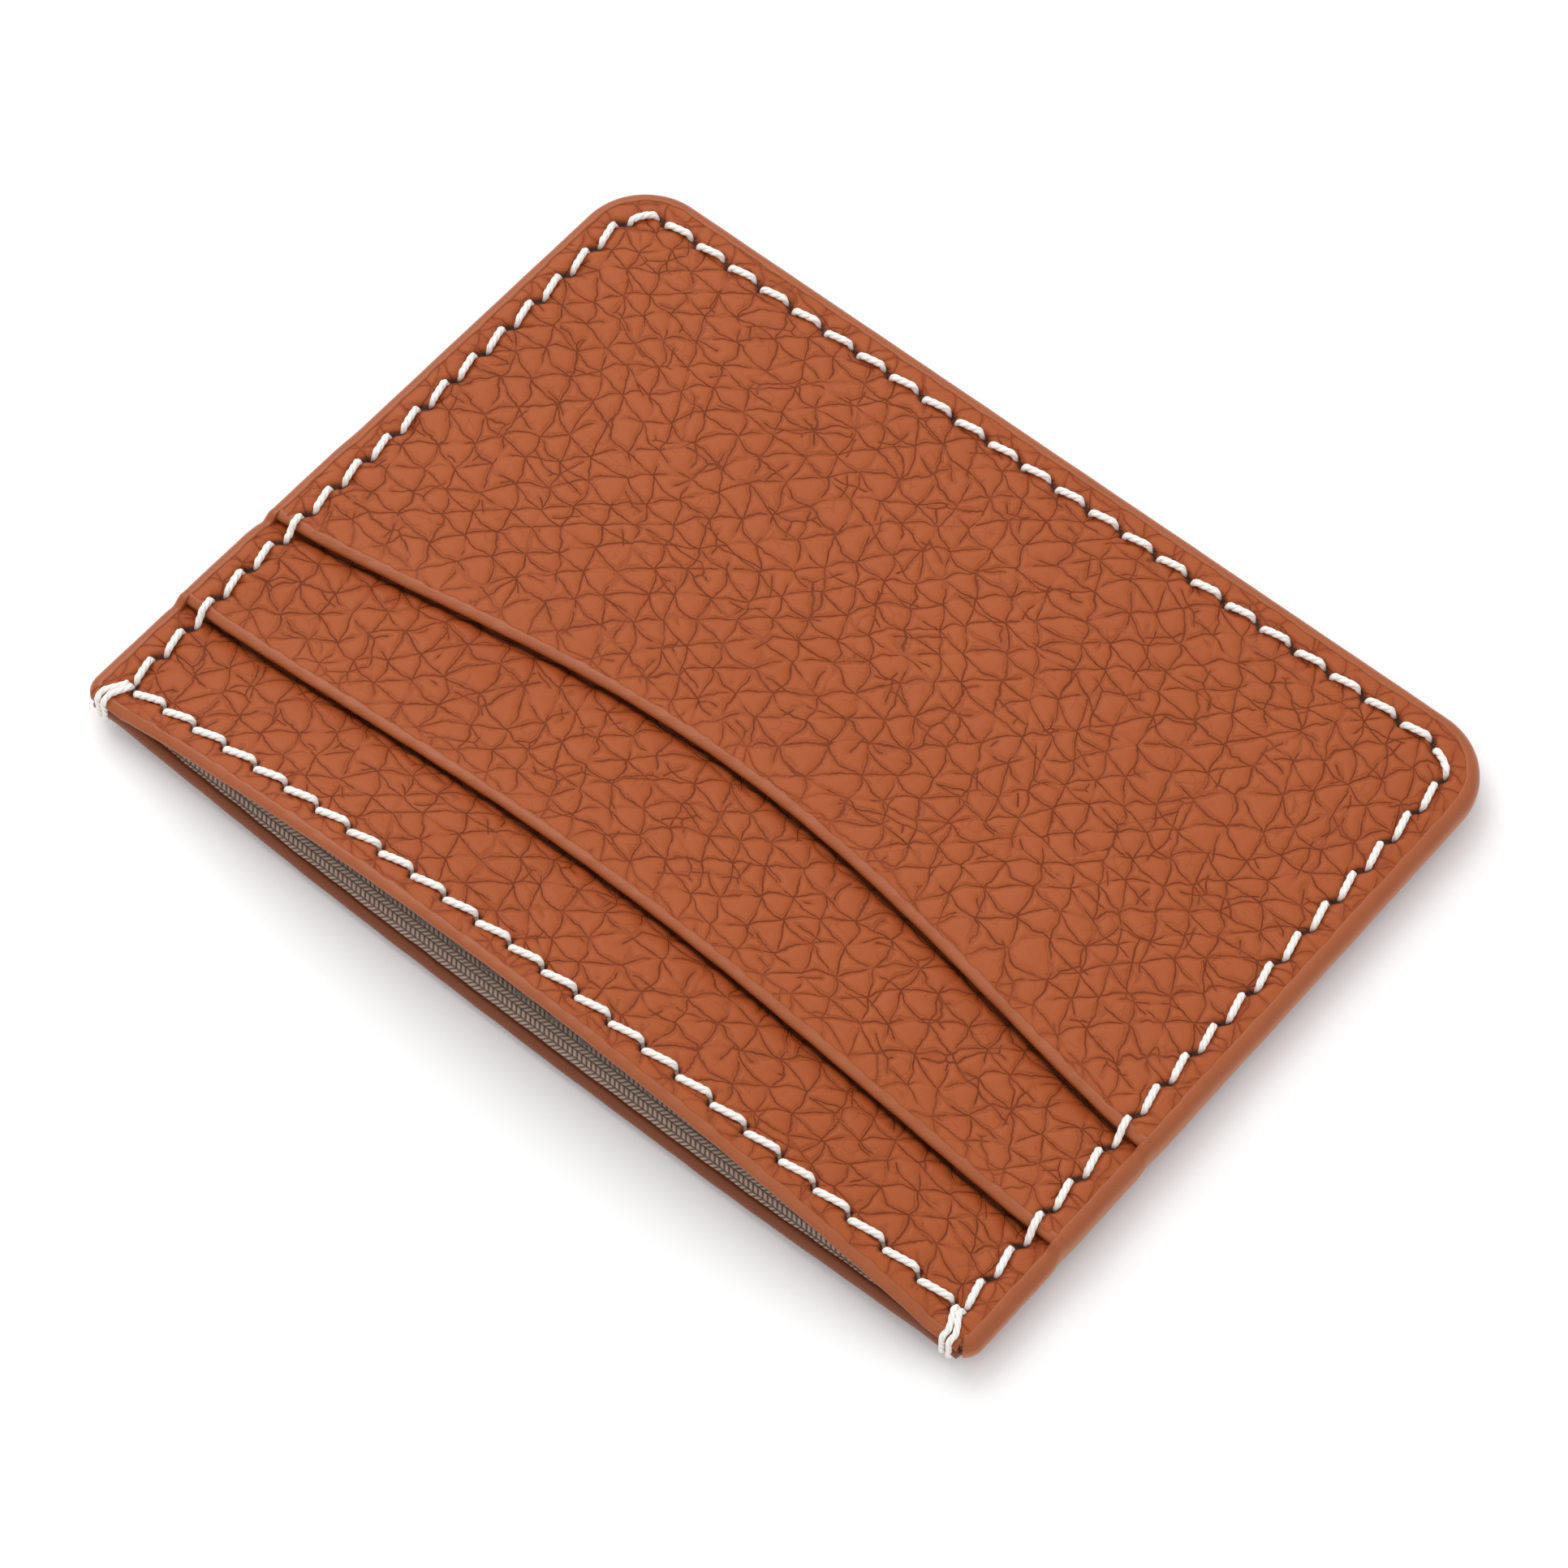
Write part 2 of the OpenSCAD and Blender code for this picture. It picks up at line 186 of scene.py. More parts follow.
def segment_distance(x, y, start, end):
    """Distance from each point to the nearest of many short straight segments, worked out for
    the points within 5 mm of a segment's middle. Farther points get 9 mm."""
    reach, far = 5, 9.0
    best = np.full(x.shape, far)
    for a, b in zip(start, end):
        middle = (a + b) / 2
        near = (np.abs(x - middle[0]) < reach) & (np.abs(y - middle[1]) < reach)
        px, py = x[near] - a[0], y[near] - a[1]
        run = b - a
        t = np.clip((px * run[0] + py * run[1]) / (run @ run), 0, 1)
        best[near] = np.minimum(best[near], np.hypot(px - t * run[0], py - t * run[1]))
    return best


def grain_group(kind):
    """Node group for the hide's grain, the same for shading and for geometry.

    Two nets of creases are laid over each other: three families of parallel lines that cross
    in star points and bow out between them, so that round cells alternate with small pinched
    ones, and the edges of Voronoi cells. Noise bends both nets, and other noise adds to their
    distances, so that parts of each crease fade out. Height, crease and valley come from the
    distance to the nearest crease, and a fainter twin line runs along beside it. Fold comes
    from the distance to the edges of a smaller Voronoi net.
    """
    tree = bpy.data.node_groups.new("hide_grain", kind)
    for name, socket in (("Vector", "NodeSocketVector"), ("Offset", "NodeSocketVector")):
        tree.interface.new_socket(name, in_out="INPUT", socket_type=socket)
    for name in ("Height", "Crease", "Valley", "Fold"):
        tree.interface.new_socket(name, in_out="OUTPUT", socket_type="NodeSocketFloat")
    given = tree.nodes.new("NodeGroupInput")

    def node(kind, settings, inputs):
        n = tree.nodes.new(kind)
        for key, value in settings.items():
            setattr(n, key, value)
        for key, value in inputs.items():
            if isinstance(value, bpy.types.NodeSocket):
                tree.links.new(value, n.inputs[key])
            else:
                n.inputs[key].default_value = value
        return n.outputs

    def calc(operation, *values):
        inputs = dict(enumerate(values))
        return node("ShaderNodeMath", {"operation": operation}, inputs)[0]

    def vector(operation, a, b=None, scale=None):
        inputs = {0: a}
        if b is not None:
            inputs[1] = b
        if scale is not None:
            inputs["Scale"] = scale
        return node("ShaderNodeVectorMath", {"operation": operation}, inputs)

    def noise(at, scale, shift=0.0, detail=0.0):
        moved = vector("ADD", at, (shift, 2.3 * shift, 0))[0]
        return node(
            "ShaderNodeTexNoise",
            {"noise_dimensions": "2D"},
            {"Vector": moved, "Scale": scale, "Detail": detail},
        )

    def bent(at, source, scale, amount, shift=0.0):
        wave = vector("SUBTRACT", noise(source, scale, shift)["Color"], (0.5, 0.5, 0.5))[0]
        return vector("ADD", at, vector("SCALE", wave, scale=amount)[0])[0]

    def ramp(value, low, high):
        out = node(
            "ShaderNodeMapRange",
            {"interpolation_type": "SMOOTHSTEP"},
            {"Value": value, "From Min": low, "From Max": high},
        )
        return out[0]

    def faded(distance, shift, limit, amount):
        extra = calc("MAXIMUM", calc("SUBTRACT", noise(at, 0.33, shift)[0], limit), 0)
        return calc("ADD", distance, calc("MULTIPLY", extra, amount))

    at = vector("SCALE", given.outputs["Vector"], scale=1 / MM)[0]
    at = vector("ADD", at, given.outputs["Offset"])[0]
    at = vector("MULTIPLY", at, (1, 1, 0))[0]
    bend = bent(bent(bent(at, at, 0.06, 3.0), at, 0.2, 1.5, 7.1), at, 0.75, 0.36, 3.9)
    bend = bent(bend, at, 2.2, 0.11, 1.7)
    bend = vector("MULTIPLY", bend, (0.86, 1.0, 0))[0]
    pitch, bow_size, star_angle = 2.55, 0.09, 80
    cells_per_mm, folds_per_mm, twin_gap = 0.21, 0.75, 0.24
    families = []
    for turn in range(3):
        angle = math.radians(star_angle + 120 * turn)
        lines = (math.cos(angle) / pitch, math.sin(angle) / pitch, 0)
        families.append(vector("DOT_PRODUCT", bend, lines)["Value"])
    distance = None
    for turn, limit in enumerate((0.68, 0.63, 0.63)):
        bow = calc("ABSOLUTE", calc("SINE", calc("MULTIPLY", families[turn - 2], math.pi)))
        wave = calc("PINGPONG", calc("MULTIPLY_ADD", bow, bow_size, families[turn]), 0.5)
        line = faded(calc("MULTIPLY", wave, pitch), 17.3 * turn, limit, 0.9)
        distance = line if distance is None else calc("MINIMUM", distance, line)
    cells = node(
        "ShaderNodeTexVoronoi",
        {"feature": "DISTANCE_TO_EDGE", "voronoi_dimensions": "2D"},
        {"Vector": bend, "Scale": cells_per_mm, "Randomness": 0.9},
    )["Distance"]
    net = faded(calc("DIVIDE", cells, cells_per_mm), 61.0, 0.45, 2.6)
    distance = calc("MINIMUM", distance, net)
    small = node(
        "ShaderNodeTexVoronoi",
        {"feature": "DISTANCE_TO_EDGE", "voronoi_dimensions": "2D"},
        {"Vector": bend, "Scale": folds_per_mm, "Randomness": 1.0},
    )["Distance"]
    fold = faded(calc("DIVIDE", small, folds_per_mm), 83.0, 0.33, 3.0)
    twin = faded(calc("ABSOLUTE", calc("SUBTRACT", distance, twin_gap)), 29.0, 0.44, 2.0)

    depth = calc("MULTIPLY_ADD", noise(at, 0.6, 5.0, 1.0)[0], 1.3, 0.25)
    crease = calc("MULTIPLY", calc("SUBTRACT", 1, ramp(distance, 0.0, 0.09)), depth)
    second = calc("MULTIPLY", calc("SUBTRACT", 1, ramp(twin, 0.0, 0.09)), 0.28)
    crease = calc("MINIMUM", calc("MAXIMUM", crease, second), 1)
    valley = calc("SUBTRACT", 1, ramp(distance, -0.05, 0.42))
    folded = calc("SUBTRACT", 1, ramp(fold, 0.0, 0.14))
    height = calc("SUBTRACT", ramp(distance, -0.5, 0.9), calc("MULTIPLY", valley, 0.15))

    result = tree.nodes.new("NodeGroupOutput")
    for name, value in (("Height", height), ("Crease", crease), ("Valley", valley), ("Fold", folded)):
        tree.links.new(value, result.inputs[name])
    return tree


def grain_at(points, offset):
    """Grain height at points in millimetres, worked out by the same node group as the shading."""
    mesh = bpy.data.meshes.new("grain_probe")
    mesh.vertices.add(len(points))
    mesh.vertices.foreach_set("co", (points * MM).astype(np.float32).ravel())
    probe = bpy.data.objects.new("grain_probe", mesh)
    bpy.context.scene.collection.objects.link(probe)
    tree = bpy.data.node_groups.new("grain_probe", "GeometryNodeTree")
    tree.interface.new_socket("Geometry", in_out="INPUT", socket_type="NodeSocketGeometry")
    tree.interface.new_socket("Geometry", in_out="OUTPUT", socket_type="NodeSocketGeometry")
    start, end = tree.nodes.new("NodeGroupInput"), tree.nodes.new("NodeGroupOutput")
    grain = tree.nodes.new("GeometryNodeGroup")
    grain.node_tree = grain_geometry
    grain.inputs["Offset"].default_value = offset
    place = tree.nodes.new("GeometryNodeInputPosition")
    store = tree.nodes.new("GeometryNodeStoreNamedAttribute")
    store.inputs["Name"].default_value = "grain"
    tree.links.new(place.outputs[0], grain.inputs["Vector"])
    tree.links.new(grain.outputs["Height"], store.inputs["Value"])
    tree.links.new(start.outputs[0], store.inputs["Geometry"])
    tree.links.new(store.outputs[0], end.inputs[0])
    probe.modifiers.new("grain", "NODES").node_group = tree
    evaluated = probe.evaluated_get(bpy.context.evaluated_depsgraph_get())
    height = np.zeros(len(points), np.float32)
    evaluated.data.attributes["grain"].data.foreach_get("value", height)
    bpy.data.objects.remove(probe)
    bpy.data.meshes.remove(mesh)
    bpy.data.node_groups.remove(tree)
    return height.astype(float)


grain_geometry = grain_group("GeometryNodeTree")
grain_shader = grain_group("ShaderNodeTree")


def make_piece(name, points, quads, material, slot, node, others=(), marks=None, uv=None):
    """Mesh object from points in millimetres, four-cornered faces and faces of other sizes.

    marks are values stored at the vertices for the material, and uv is one pair a vertex.
    """
    mesh = bpy.data.meshes.new(name)
    mesh.vertices.add(len(points))
    mesh.vertices.foreach_set("co", (np.asarray(points) * MM).astype(np.float32).ravel())
    sizes = np.concatenate([np.full(len(quads), 4), [len(f) for f in others]]).astype(np.int32)
    corners = np.concatenate([np.asarray(quads).ravel(), *others]).astype(np.int32)
    mesh.loops.add(len(corners))
    mesh.loops.foreach_set("vertex_index", corners)
    mesh.polygons.add(len(sizes))
    mesh.polygons.foreach_set("loop_start", np.cumsum(sizes, dtype=np.int32) - sizes)
    mesh.polygons.foreach_set("use_smooth", np.ones(len(sizes), bool))
    for mark, values in (marks or {}).items():
        mesh.attributes.new(mark, "FLOAT", "POINT").data.foreach_set("value", values.ravel())
    if uv is not None:
        layer = mesh.uv_layers.new(name="along")
        layer.data.foreach_set("uv", uv[corners].astype(np.float32).ravel())
    mesh.update()
    mesh.validate()
    mesh.materials.append(material)
    piece = bpy.data.objects.new(name, mesh)
    bpy.context.scene.collection.objects.link(piece)
    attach(piece, "root")
    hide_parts(node)
    return piece


def shell_faces(cols, rows, step):
    """Faces of a closed sheet whose fine side comes first, row by row.

    The coarse side has one row for every so many fine rows, and the same columns. Walls at the
    two ends join matching columns, and each wall face at the sides joins one coarse row to the
    fine rows beside it. The fine side faces up.
    """
    wide, base = cols + 1, (cols + 1) * (rows + 1)
    fine = np.arange(rows)[:, None] * wide + np.arange(cols)
    quads = [np.stack([fine, fine + 1, fine + wide + 1, fine + wide], -1)]
    coarse = base + np.arange(rows // step)[:, None] * wide + np.arange(cols)
    quads.append(np.stack([coarse, coarse + wide, coarse + wide + 1, coarse + 1], -1))
    for top, low, turned in ((0, base, False), (rows * wide, base + rows // step * wide, True)):
        a, b = top + np.arange(cols), low + np.arange(cols)
        wall = np.stack([a, b, b + 1, a + 1], -1)
        quads.append(wall[:, ::-1] if turned else wall)
    sides = []
    for j in range(rows // step):
        for column, turned in ((0, True), (cols, False)):
            up = (j * step + np.arange(step + 1)) * wide + column
            low = base + np.array([j + 1, j]) * wide + column
            face = np.concatenate([low[::-1], up[::-1]])
            sides.append(face[::-1] if turned else face)
    return np.concatenate([q.reshape(-1, 4) for q in quads]), sides


def wave_line(s, seed, lengths, size):
    """Smooth random waver along s: a sum of sines with the given wavelengths."""
    pick = np.random.default_rng(seed)
    total = 0 * s
    for length in lengths:
        total = total + np.sin(2 * np.pi * s / length + pick.uniform(0, 6.28)) * pick.uniform(0.6, 1)
    return size * total / len(lengths)


def rows_to_corners(near, count):
    """Row positions from near to the closed edge: even at first, and then at even angles round
    the arc of the far corners."""
    arc_rows = 32
    start = closed_y - edge_r
    straight = near + (start - near) * np.linspace(0, 1, count - arc_rows + 1)[:, None]
    turn = np.linspace(0, np.pi / 2, arc_rows + 1)[1:, None]
    return np.concatenate([straight, start + edge_r * np.sin(turn) + 0 * near])


def leather_piece(name, node, rows_y, inner_z, outer_z, outer_up, offset, lip=None, next_lip=None):
    """Closed sheet of hide over a grid of columns across and the given rows.

    The grain side is the outer layer plus the grain's relief and a puff along the seams, less a
    rounding over the last 0.75 mm before a cut edge, the dents of the stitches, the holes they
    go through and the puckers beside them. The relief fades out near a cut edge. Where the
    grain side rests on the table, its domes touch the layer and only the creases stand back.
    """
    step, rounded, past_paint = 8, 0.75, 0.9
    rows, cols = rows_y.shape[0] - 1, rows_y.shape[1] - 1
    x, y = np.linspace(-1, 1, cols + 1) * half_width(rows_y), rows_y
    cut = edge_distance(x, y)
    if lip is not None:
        cut = np.minimum(cut, y - lip(x))
    to_stitch, to_slit, to_pucker = [segment_distance(x, y, *line) for line in seam_lines]
    grain = grain_at(np.stack([x, y, 0 * x], -1).reshape(-1, 3), offset).reshape(x.shape)
    calm = 0.05 + 0.95 * ease((cut - past_paint) / 2.6)
    puff = 0.13 * np.sin(np.pi * np.clip((edge_distance(x, y) - past_paint) / 1.8, 0, 1))
    rounding = 0.38 * (1 - np.sqrt(1 - np.clip(1 - cut / rounded, 0, 1) ** 2))
    grain_depth, level = 0.26, 0.65 if outer_up else 1
    dent = 0.14 * np.exp(-((to_stitch / 0.5) ** 2))
    slit = 0.35 * np.exp(-((to_slit / 0.28) ** 2))
    fold = 0.07 * np.exp(-((to_pucker / 0.17) ** 2))
    relief = grain_depth * (grain - level) * calm + puff - rounding - dent - slit - fold
    face = outer_z(x, y) + (relief if outer_up else -relief)
    nowhere = 99
    past = y + nowhere if next_lip is None else y - next_lip(x)
    # Painted shade: the leather about 2 mm either side of the lip over this strip is darkened
    shade = np.exp(-((past / 2.2) ** 2))
    # Painted shade: a dark band 0.3 mm wide just before that lip, less near the sides
    slot_gap_shade = 0.85 * np.exp(-(((past + 0.35) / 0.27) ** 2)) * ease((side_x - np.abs(x) - 1) / 3)
    coarse_y, coarse_x = y[::step], x[::step]
    other = inner_z(coarse_x, coarse_y)
    fine_points = np.stack([x, y, face], -1).reshape(-1, 3)
    coarse_points = np.stack([coarse_x, coarse_y, other], -1).reshape(-1, 3)
    quads, sides = shell_faces(cols, rows, step)
    if not outer_up:
        quads, sides = quads[:, ::-1], [f[::-1] for f in sides]
    padding = np.zeros(len(coarse_points))
    marks = {
        # hole: stitch slits and the band before the next lip, painted near black as painted shade
        "hole": np.concatenate([np.maximum(np.exp(-((to_slit / 0.3) ** 4)), slot_gap_shade).ravel(), padding]),
        "calm": np.concatenate([calm.ravel(), padding + 1]),
        # dip: painted shade round the next lip
        "dip": np.concatenate([shade.ravel(), padding]),
        # pucker: the puckers' creases, painted darker as painted shade
        "pucker": np.concatenate([np.exp(-((to_pucker / 0.13) ** 2)).ravel(), padding]),
    }
    points = np.concatenate([fine_points, coarse_points])
    hide = leather_material(name, offset)
    return make_piece(name, points, quads, hide, "leather", node, sides, marks)


def new_material(name):
    """Empty node material, and short ways to add a node, mix two colours, do a sum and finish it
    with a Principled surface whose bump has a strength, a depth and a height."""
    material = bpy.data.materials.new(name)
    material.use_nodes = True
    tree = material.node_tree
    tree.nodes.clear()

    def node(kind, inputs=None, **settings):
        n = tree.nodes.new(kind)
        for key, value in settings.items():
            setattr(n, key, value)
        for key, value in (inputs or {}).items():
            if isinstance(value, bpy.types.NodeSocket):
                tree.links.new(value, n.inputs[key])
            else:
                n.inputs[key].default_value = value
        return n.outputs

    def mix(factor, a, b):
        return node("ShaderNodeMix", {0: factor, 6: a, 7: b}, data_type="RGBA")[2]

    def calc(operation, *values):
        return node("ShaderNodeMath", dict(enumerate(values)), operation=operation)[0]

    def finish(inputs, strength=0, depth=0, height=None):
        if height is not None:
            relief = {"Strength": strength, "Distance": depth, "Height": height}
            inputs["Normal"] = node("ShaderNodeBump", relief)[0]
        surface = node("ShaderNodeBsdfPrincipled", inputs)[0]
        node("ShaderNodeOutputMaterial", {"Surface": surface})
        return material

    return node, mix, calc, finish


def leather_material(name, offset):
    """Satin hide: light domes and fine pores, with valleys, hairline creases, folds and puckers
    painted darker as painted shade. The holes of the seams and a band just before each slot lip
    are painted near black, and the leather round each slot lip darker, as painted shade too.
    offset is the part of the hide that the piece was cut from."""
    node, mix, calc, finish = new_material(name)
    at = node("ShaderNodeTexCoord")["Object"]
    placed = {"Vector": at, "Offset": offset}
    grain = node("ShaderNodeGroup", placed, node_tree=grain_shader)
    hole, calm, dip, pucker = [
        node("ShaderNodeAttribute", attribute_name=mark)["Fac"]
        for mark in ("hole", "calm", "dip", "pucker")
    ]
    pores = node("ShaderNodeTexNoise", {"Vector": at, "Scale": 5500.0, "Detail": 2.0})[0]
    patches = node("ShaderNodeTexNoise", {"Vector": at, "Scale": 60.0, "Detail": 2.0})[0]
    colour = mix(patches, (0.325, 0.070, 0.016, 1), (0.375, 0.090, 0.024, 1))
    colour = mix(calc("MULTIPLY", pores, 0.3), colour, (0.28, 0.056, 0.012, 1))
    # Painted shade: darker round each slot lip, through the dip mark
    colour = mix(calc("MULTIPLY", dip, 0.8), colour, (0.26, 0.042, 0.005, 1))
    # Painted shade in the grain: darker valleys, puckers, folds and hairline creases
    valley = calc("MULTIPLY", grain["Valley"], 0.6)
    colour = mix(valley, colour, (0.24, 0.040, 0.007, 1))
    colour = mix(calc("MULTIPLY", pucker, 0.5), colour, (0.15, 0.026, 0.006, 1))
    folds = calc("MULTIPLY", calc("MULTIPLY", grain["Fold"], 0.22), calm)
    colour = mix(folds, colour, (0.19, 0.034, 0.007, 1))
    line = calc("MULTIPLY", grain["Crease"], calc("MULTIPLY_ADD", calm, 0.72, 0.1))
    colour = mix(line, colour, (0.135, 0.023, 0.002, 1))
    # Painted shade: stitch slits and the band before each slot lip near black (hole mark)
    colour = mix(hole, colour, (0.028, 0.009, 0.004, 1))
    height = calc("MULTIPLY_ADD", grain["Crease"], -0.5, calc("MULTIPLY", pores, 0.14))
    height = calc("MULTIPLY_ADD", grain["Fold"], -0.18, height)
    rough = node("ShaderNodeMapRange", {"Value": pores, "To Min": 0.42, "To Max": 0.62})[0]
    satin = {"Base Color": colour, "Roughness": rough, "Specular IOR Level": 0.18}
    return finish(satin, 1.0, 0.12 * MM, height)


def mouth_bow(x):
    """How far the free edge of the back bows out at the mouth: 0.5 mm times the cosine across."""
    return 0.5 * across(x)


seam_lines = [
    (stitch_from, stitch_to),
    (slit_middle - slit_half, slit_middle + slit_half),
    (pucker_from, pucker_to),
]
back_x = np.linspace(-side_x, side_x, 356)
leather_piece(
    "back_panel_leather", "back_panel", rows_to_corners(mouth_y - mouth_bow(back_x), 240),
    lambda x, y: back_z(x, y) + leather_t, back_z, False, (41.0, 13.0, 0.0),
)

# ---- Linings ----
# Taupe polyester twill, 0.2 mm, one sheet on the inside of the back, one on the inside of the
# front, and a shorter one behind the lower card slot. All are caught in the edge seams.

lining_t, ply_gap, gape = 0.2, 0.04, 6.0


def front_rise(x, y):
    """The front's swell over the open pocket: the gape, times the cosine across to a power that
    grows from 0.8 to 2 inwards, times the cube of the share left to the closed seam."""
    power = 0.8 + 1.2 * ease(3 * inward(y))
    return gape * across(x) ** power * (1 - inward(y)) ** 3


def front_lining_z(x, y):
    """Underside of the front's lining: the stack at the seams plus the swell."""
    return seam_lift + leather_t + lining_t + 2 * ply_gap + front_rise(x, y)


def front_panel_z(x, y):
    """Underside of the mouth strip."""
    return front_lining_z(x, y) + lining_t + ply_gap


def twill_material():
    """Herringbone twill: rows of short floats, round on top, that lean left and right in turn,
    with the hollows between them painted dark as painted shade.
    It is pale at the mouth and painted darker from 1 to 3.6 mm further in, as painted shade
    inside the pocket."""
    node, mix, calc, finish = new_material("lining_twill")
    at = node("ShaderNodeTexCoord")["Object"]
    spot = node("ShaderNodeSeparateXYZ", {0: at})
    float_length, float_width, slope = 0.62 * MM, 0.53 * MM, 0.9
    row = calc("MULTIPLY", spot[1], 1 / float_length)
    lean = calc("MULTIPLY", calc("PINGPONG", row, 1), slope)
    column = calc("MULTIPLY_ADD", spot[0], 1 / float_width, lean)
    over = calc("SUBTRACT", calc("MULTIPLY", calc("FRACT", column), 2), 1)
    down = calc("SUBTRACT", calc("MULTIPLY", calc("FRACT", row), 2), 1)
    crown = calc("SUBTRACT", 1, calc("MULTIPLY", over, over))
    ends = calc("SUBTRACT", 1, calc("POWER", calc("ABSOLUTE", down), 5))
    height = calc("MULTIPLY", crown, ends)
    fibre = node("ShaderNodeTexNoise", {"Vector": at, "Scale": 9000.0, "Detail": 1.0})[0]
    # Painted shade in the weave: pale float crowns, near black hollows between floats
    colour = mix(height, (0.095, 0.060, 0.044, 1), (0.80, 0.57, 0.445, 1))
    colour = mix(calc("MULTIPLY", fibre, 0.25), colour, (0.22, 0.165, 0.125, 1))
    # Painted shade inside the pocket, darker from 1 to 3.6 mm in from the mouth
    pale_to, dark_from = (mouth_y + 1) * MM, (mouth_y + 3.6) * MM
    depth = node(
        "ShaderNodeMapRange",
        {"Value": spot[1], "From Min": pale_to, "From Max": dark_from, "To Max": 0.85},
    )[0]
    colour = mix(depth, colour, (0.06, 0.038, 0.027, 1))
    cloth = {"Base Color": colour, "Roughness": 0.6, "Sheen Weight": 0.3}
    return finish(cloth, 1.0, 0.12 * MM, height)


def lining_piece(name, node, near, under, thick):
    """Closed thin sheet over the outline, from near to the closed edge, with level thickness."""
    inset, step = 0.1, 4
    rows = rows_to_corners(near, 128)
    x = np.linspace(-1, 1, rows.shape[1]) * (half_width(rows) - inset)
    y = np.minimum(rows, closed_y - inset)
    low = under(x, y)
    top = np.stack([x, y, low + thick], -1).reshape(-1, 3)
    bottom = np.stack([x[::step], y[::step], low[::step]], -1).reshape(-1, 3)
    quads, sides = shell_faces(rows.shape[1] - 1, len(rows) - 1, step)
    points = np.concatenate([top, bottom])
    return make_piece(name, points, quads, twill, "lining", node, sides)


twill = twill_material()
lining_x = np.linspace(-1, 1, 199) * side_x
lining_near = mouth_y + 0.1
back_lining = lining_piece(
    "back_lining_twill", "back_lining", lining_near - mouth_bow(lining_x),
    lambda x, y: back_z(x, y) + leather_t + ply_gap, lining_t,
)
front_lining = lining_piece(
    "front_lining_twill", "front_lining", lining_near + 0 * lining_x, front_lining_z, lining_t
)

# ---- Mouth strip ----
# A strip of the same hide between the mouth and the upper card slot. It runs on 8 mm under
# the next strip, pared down to half its thickness there.

pared_t, overlap = 0.5, 8.0
upper_slot_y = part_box("upper_pocket")[0].y / MM
lower_slot_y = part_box("lower_pocket")[0].y / MM
upper_arch, lower_arch = 1.3, 5.8


def slot_curve(x):
    """1 at the middle of the holder and 0 at its sides, a cosine to the power 1.3."""
    return np.cos(np.pi / 2 * np.clip(np.abs(x) / side_x, 0, 1)) ** 1.3


def upper_slot(x):
    """Edge of the upper card slot, curved a little away from the mouth."""
    return upper_slot_y + upper_arch * slot_curve(x)


def lower_slot(x):
    """Edge of the lower card slot, curved further away from the mouth."""
    return lower_slot_y + lower_arch * slot_curve(x)


def strip_t(from_slot):
    """Full leather up to 2 mm before the slot, pared down to 1 mm past it."""
    return leather_t - (leather_t - pared_t) * ease((from_slot + 2) / 3)


def slot_dip(x, from_slot):
    """How far a strip dips along the lip that covers it: a bell 1.3 mm wide, 0 at the sides."""
    return 0.4 * np.exp(-((from_slot / 1.3) ** 2)) * ease((side_x - np.abs(x)) / 5)


def front_panel_top(x, y):
    """Outer face of the mouth strip, which dips before it goes under the next strip."""
    from_slot = y - upper_slot(x)
    return front_panel_z(x, y) + strip_t(from_slot) - slot_dip(x, from_slot)


def rows_to_slot(near, slot, fine_rows):
    """Row positions of a strip: even and fine from near to just under the next strip's lip, then
    even and coarse to the strip's hidden end."""
    covered, end, coarse_rows = slot + 0.8, slot + overlap, 8
    fine = near + (covered - near) * np.linspace(0, 1, fine_rows + 1)[:, None]
    rest = covered + (end - covered) * np.linspace(0, 1, coarse_rows + 1)[1:, None]
    return np.concatenate([fine, rest])


def mouth_edge(x):
    """Edge of the front at the mouth, which is straight."""
    return mouth_y + 0 * x


strip_x = np.linspace(-1, 1, 496) * side_x
leather_piece(
    "mouth_strip_leather", "front_panel", rows_to_slot(mouth_edge(strip_x), upper_slot(strip_x), 72),
    front_panel_z, front_panel_top, True, (0.0, 0.0, 0.0), mouth_edge, upper_slot,
)

# ---- Middle strip ----
# The pocket piece between the two card slots. Its free edge is the upper slot's lip, and its
# far edge runs on under the large pocket piece.


def past_strip(from_slot):
    """What lies below eases away in the 4 mm past the end of the strip underneath."""
    return ease((from_slot - overlap) / 4)


def upper_pocket_z(x, y):
    """Underside of the middle strip, over the end of the mouth strip and then on the lining."""
    from_slot = y - upper_slot(x)
    below = strip_t(from_slot) + ply_gap
    return front_panel_z(x, y) + below * (1 - past_strip(from_slot))


def upper_pocket_top(x, y):
    """Outer face of the middle strip, with the dip before the lower slot."""
    from_slot = y - lower_slot(x)
    return upper_pocket_z(x, y) + strip_t(from_slot) - slot_dip(x, from_slot)


middle_rows = rows_to_slot(upper_slot(strip_x), lower_slot(strip_x), 88)
leather_piece(
    "middle_strip_leather", "upper_pocket", middle_rows,
    upper_pocket_z, upper_pocket_top, True, (3.7, 21.0, 0.0), upper_slot, lower_slot,
)

# ---- Pocket divider ----
# The short lining behind the large pocket piece, from the end of the middle strip to the
# closed edge.

divider_near = lower_slot(lining_x) + overlap + ply_gap
divider = lining_piece(
    "divider_twill", "pocket_divider", divider_near, front_panel_z, lining_t - ply_gap
)

# ---- Large pocket piece ----
# The biggest piece of hide on the front, 1 mm thick all over, from the lower slot's curved lip
# to the closed edge. It lies over the end of the middle strip and is sewn in on three sides.


def lower_pocket_z(x, y):
    """Underside of the large pocket piece, over the strip below and then over the divider."""
    from_slot = y - lower_slot(x)
    gone = past_strip(from_slot)
    below = strip_t(from_slot) * (1 - gone) + lining_t * gone
    return upper_pocket_z(x, y) + ply_gap + below


